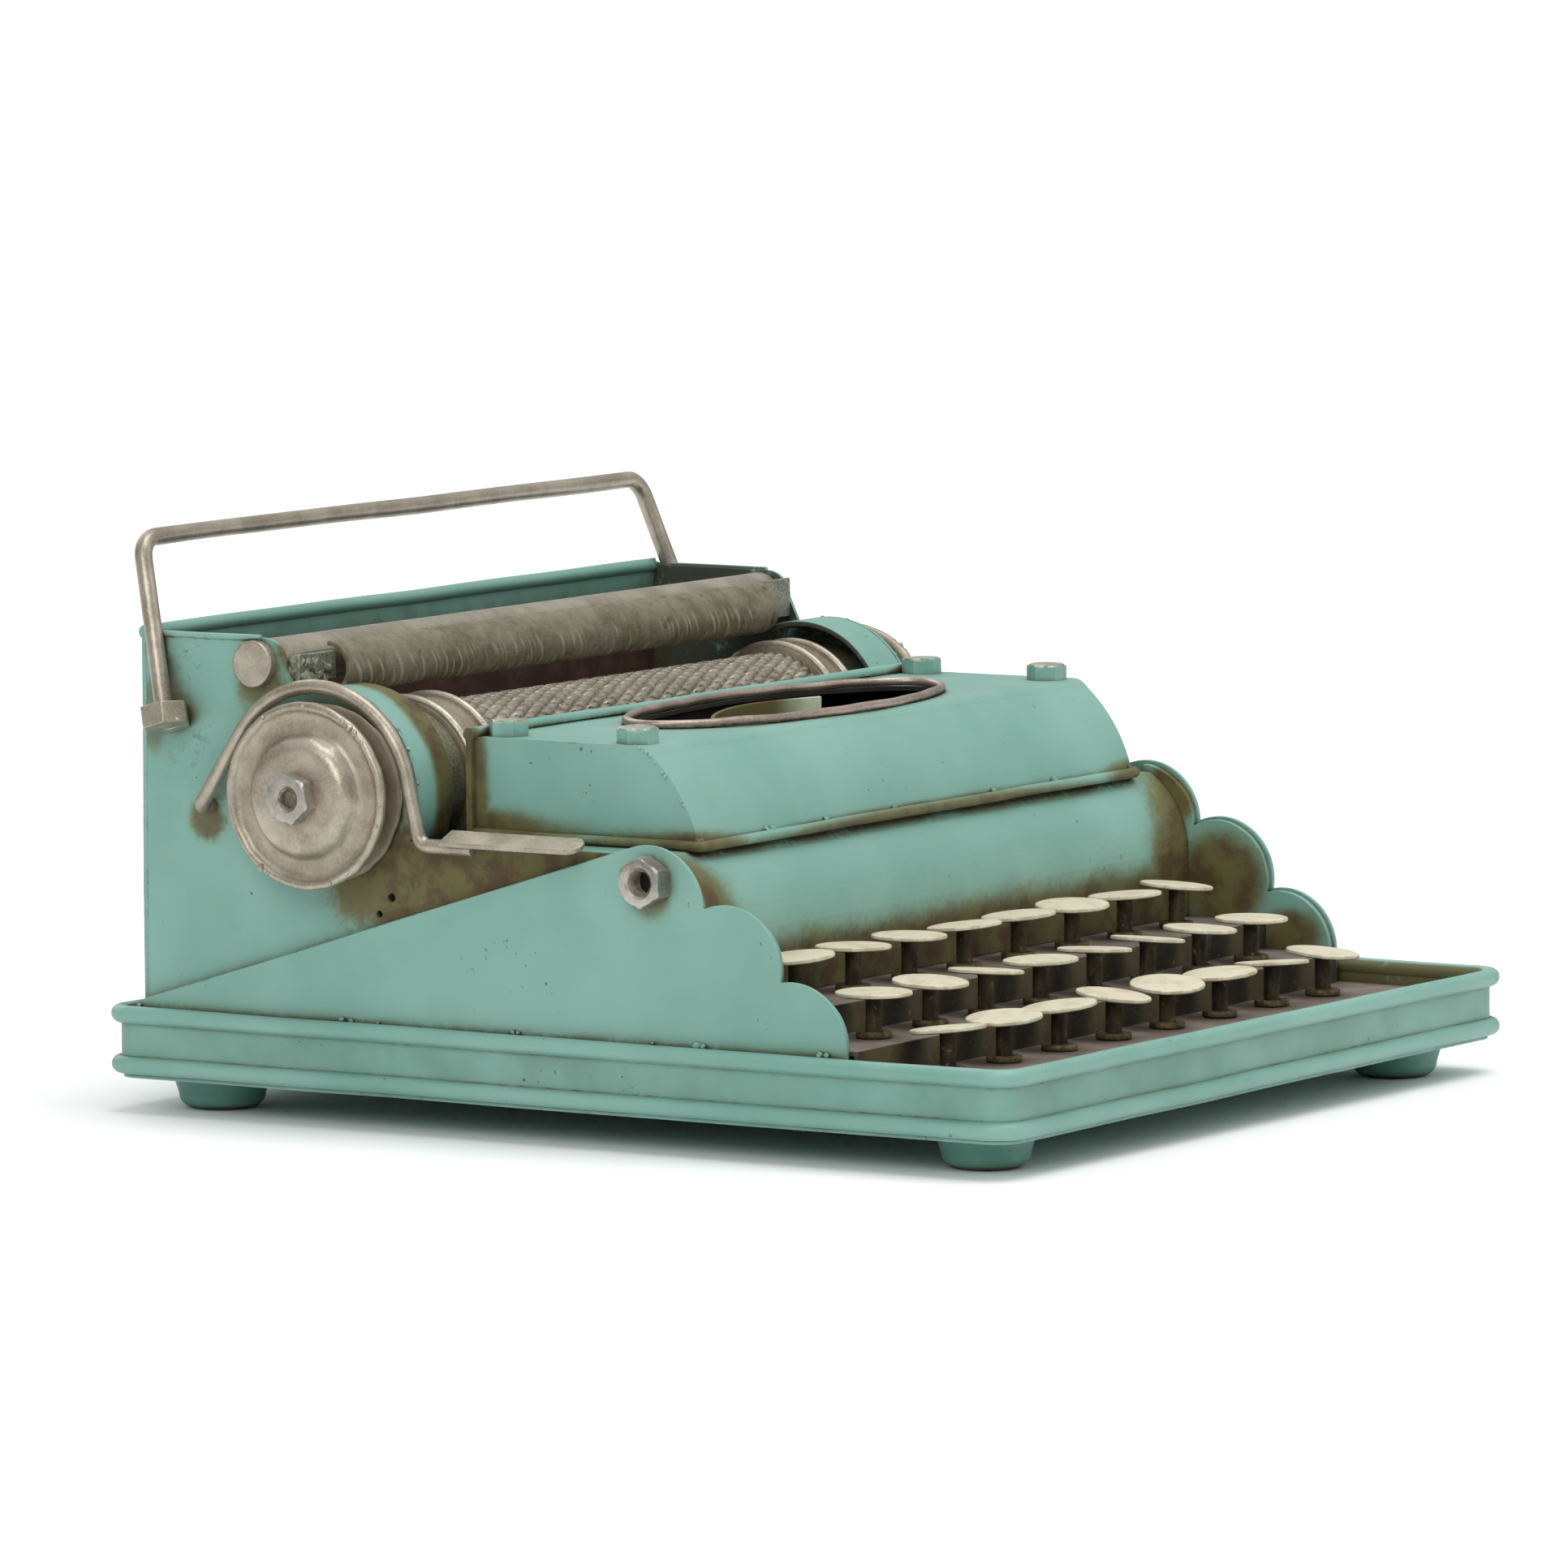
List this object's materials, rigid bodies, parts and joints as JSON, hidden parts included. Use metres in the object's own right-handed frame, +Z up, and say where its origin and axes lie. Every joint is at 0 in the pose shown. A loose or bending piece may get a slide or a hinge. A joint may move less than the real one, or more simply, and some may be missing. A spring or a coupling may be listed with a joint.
{
  "type": "typewriter",
  "caption": "Sheet-metal model typewriter with round press keys, a turning platen with knobs, a return lever and a wire handle.",
  "frame": {"origin": "on the ground, midway between the four feet", "axes": "+Z up, -Y towards the person typing, +X to that person's right"},
  "size_m": [0.2452, 0.238, 0.1301],
  "materials": {
    "mint_paint": "satin, worn, brown wash in the corners",
    "silver_bronze": "satin silver-bronze paint, rusty at the joints",
    "taupe_paint": "matt",
    "olive_paint": "satin",
    "cream_enamel": "satin"
  },
  "bodies": {
    "frame": {"base_floor": "mint_paint", "base_rim": "mint_paint", "feet": "mint_paint", "left_cheek": "mint_paint", "right_cheek": "mint_paint", "cheek_liners": "mint_paint", "left_side_plate": "mint_paint", "right_side_plate": "mint_paint", "rear_panel": "mint_paint", "left_end_hood": "mint_paint", "right_end_hood": "mint_paint", "front_cowl": "mint_paint", "ribbon_cover": "mint_paint", "cover_bead": "mint_paint", "cover_bolts": "mint_paint", "cheek_nuts": "silver_bronze", "handle_nuts": "silver_bronze", "scale_bar": "silver_bronze", "scale_brackets": "silver_bronze", "rear_rod": "silver_bronze", "handle": "silver_bronze", "opening_trim": "silver_bronze", "key_deck": "taupe_paint", "key_collars": "taupe_paint", "type_sheet": "olive_paint"},
    "platen": {"platen_shaft": "silver_bronze", "platen_roller": "silver_bronze", "platen_collars": "silver_bronze", "platen_end_drums": "olive_paint", "left_knob": "silver_bronze", "right_knob": "silver_bronze", "knob_nuts": "silver_bronze"},
    "lever": {"return_lever": "silver_bronze", "lever_paddle": "silver_bronze"},
    "key_r1_1_body": {"key_r1_1": "cream_enamel"},
    "key_r1_2_body": {"key_r1_2": "cream_enamel"},
    "key_r1_3_body": {"key_r1_3": "cream_enamel"},
    "key_r1_4_body": {"key_r1_4": "cream_enamel"},
    "key_r1_5_body": {"key_r1_5": "cream_enamel"},
    "key_r1_6_body": {"key_r1_6": "cream_enamel"},
    "key_r1_7_body": {"key_r1_7": "cream_enamel"},
    "key_r1_8_body": {"key_r1_8": "cream_enamel"},
    "key_r2_1_body": {"key_r2_1": "cream_enamel"},
    "key_r2_2_body": {"key_r2_2": "cream_enamel"},
    "key_r2_3_body": {"key_r2_3": "cream_enamel"},
    "key_r2_4_body": {"key_r2_4": "cream_enamel"},
    "key_r2_5_body": {"key_r2_5": "cream_enamel"},
    "key_r2_6_body": {"key_r2_6": "cream_enamel"},
    "key_r2_7_body": {"key_r2_7": "cream_enamel"},
    "key_r2_8_body": {"key_r2_8": "cream_enamel"},
    "key_r3_1_body": {"key_r3_1": "cream_enamel"},
    "key_r3_2_body": {"key_r3_2": "cream_enamel"},
    "key_r3_3_body": {"key_r3_3": "cream_enamel"},
    "key_r3_4_body": {"key_r3_4": "cream_enamel"},
    "key_r3_5_body": {"key_r3_5": "cream_enamel"},
    "key_r3_6_body": {"key_r3_6": "cream_enamel"},
    "key_r3_7_body": {"key_r3_7": "cream_enamel"},
    "key_r3_8_body": {"key_r3_8": "cream_enamel"}
  },
  "joints": [
    {"name": "platen_turn", "type": "hinge", "parent": "frame", "child": "platen", "pos_m": [0, 0.06, 0.074], "axis": [1, 0, 0], "continuous": true},
    {"name": "return_lever_lift", "type": "hinge", "parent": "frame", "child": "lever", "pos_m": [-0.1099, 0.0921, 0.0694], "axis": [-1, 0, 0], "range_deg": [0, 30]},
    {"name": "key_r1_1_press", "type": "slide", "parent": "frame", "child": "key_r1_1_body", "axis": [0, 0, -1], "range_m": [0, 0.003], "stiffness_N_per_m": 150, "springref_m": -0.0005},
    {"name": "key_r1_2_press", "type": "slide", "parent": "frame", "child": "key_r1_2_body", "axis": [0, 0, -1], "range_m": [0, 0.003], "stiffness_N_per_m": 150, "springref_m": -0.0005},
    {"name": "key_r1_3_press", "type": "slide", "parent": "frame", "child": "key_r1_3_body", "axis": [0, 0, -1], "range_m": [0, 0.003], "stiffness_N_per_m": 150, "springref_m": -0.0005},
    {"name": "key_r1_4_press", "type": "slide", "parent": "frame", "child": "key_r1_4_body", "axis": [0, 0, -1], "range_m": [0, 0.003], "stiffness_N_per_m": 150, "springref_m": -0.0005},
    {"name": "key_r1_5_press", "type": "slide", "parent": "frame", "child": "key_r1_5_body", "axis": [0, 0, -1], "range_m": [0, 0.003], "stiffness_N_per_m": 150, "springref_m": -0.0005},
    {"name": "key_r1_6_press", "type": "slide", "parent": "frame", "child": "key_r1_6_body", "axis": [0, 0, -1], "range_m": [0, 0.003], "stiffness_N_per_m": 150, "springref_m": -0.0005},
    {"name": "key_r1_7_press", "type": "slide", "parent": "frame", "child": "key_r1_7_body", "axis": [0, 0, -1], "range_m": [0, 0.003], "stiffness_N_per_m": 150, "springref_m": -0.0005},
    {"name": "key_r1_8_press", "type": "slide", "parent": "frame", "child": "key_r1_8_body", "axis": [0, 0, -1], "range_m": [0, 0.003], "stiffness_N_per_m": 150, "springref_m": -0.0005},
    {"name": "key_r2_1_press", "type": "slide", "parent": "frame", "child": "key_r2_1_body", "axis": [0, 0, -1], "range_m": [0, 0.003], "stiffness_N_per_m": 150, "springref_m": -0.0005},
    {"name": "key_r2_2_press", "type": "slide", "parent": "frame", "child": "key_r2_2_body", "axis": [0, 0, -1], "range_m": [0, 0.003], "stiffness_N_per_m": 150, "springref_m": -0.0005},
    {"name": "key_r2_3_press", "type": "slide", "parent": "frame", "child": "key_r2_3_body", "axis": [0, 0, -1], "range_m": [0, 0.003], "stiffness_N_per_m": 150, "springref_m": -0.0005},
    {"name": "key_r2_4_press", "type": "slide", "parent": "frame", "child": "key_r2_4_body", "axis": [0, 0, -1], "range_m": [0, 0.003], "stiffness_N_per_m": 150, "springref_m": -0.0005},
    {"name": "key_r2_5_press", "type": "slide", "parent": "frame", "child": "key_r2_5_body", "axis": [0, 0, -1], "range_m": [0, 0.003], "stiffness_N_per_m": 150, "springref_m": -0.0005},
    {"name": "key_r2_6_press", "type": "slide", "parent": "frame", "child": "key_r2_6_body", "axis": [0, 0, -1], "range_m": [0, 0.003], "stiffness_N_per_m": 150, "springref_m": -0.0005},
    {"name": "key_r2_7_press", "type": "slide", "parent": "frame", "child": "key_r2_7_body", "axis": [0, 0, -1], "range_m": [0, 0.003], "stiffness_N_per_m": 150, "springref_m": -0.0005},
    {"name": "key_r2_8_press", "type": "slide", "parent": "frame", "child": "key_r2_8_body", "axis": [0, 0, -1], "range_m": [0, 0.003], "stiffness_N_per_m": 150, "springref_m": -0.0005},
    {"name": "key_r3_1_press", "type": "slide", "parent": "frame", "child": "key_r3_1_body", "axis": [0, 0, -1], "range_m": [0, 0.003], "stiffness_N_per_m": 150, "springref_m": -0.0005},
    {"name": "key_r3_2_press", "type": "slide", "parent": "frame", "child": "key_r3_2_body", "axis": [0, 0, -1], "range_m": [0, 0.003], "stiffness_N_per_m": 150, "springref_m": -0.0005},
    {"name": "key_r3_3_press", "type": "slide", "parent": "frame", "child": "key_r3_3_body", "axis": [0, 0, -1], "range_m": [0, 0.003], "stiffness_N_per_m": 150, "springref_m": -0.0005},
    {"name": "key_r3_4_press", "type": "slide", "parent": "frame", "child": "key_r3_4_body", "axis": [0, 0, -1], "range_m": [0, 0.003], "stiffness_N_per_m": 150, "springref_m": -0.0005},
    {"name": "key_r3_5_press", "type": "slide", "parent": "frame", "child": "key_r3_5_body", "axis": [0, 0, -1], "range_m": [0, 0.003], "stiffness_N_per_m": 150, "springref_m": -0.0005},
    {"name": "key_r3_6_press", "type": "slide", "parent": "frame", "child": "key_r3_6_body", "axis": [0, 0, -1], "range_m": [0, 0.003], "stiffness_N_per_m": 150, "springref_m": -0.0005},
    {"name": "key_r3_7_press", "type": "slide", "parent": "frame", "child": "key_r3_7_body", "axis": [0, 0, -1], "range_m": [0, 0.003], "stiffness_N_per_m": 150, "springref_m": -0.0005},
    {"name": "key_r3_8_press", "type": "slide", "parent": "frame", "child": "key_r3_8_body", "axis": [0, 0, -1], "range_m": [0, 0.003], "stiffness_N_per_m": 150, "springref_m": -0.0005}
  ]
}
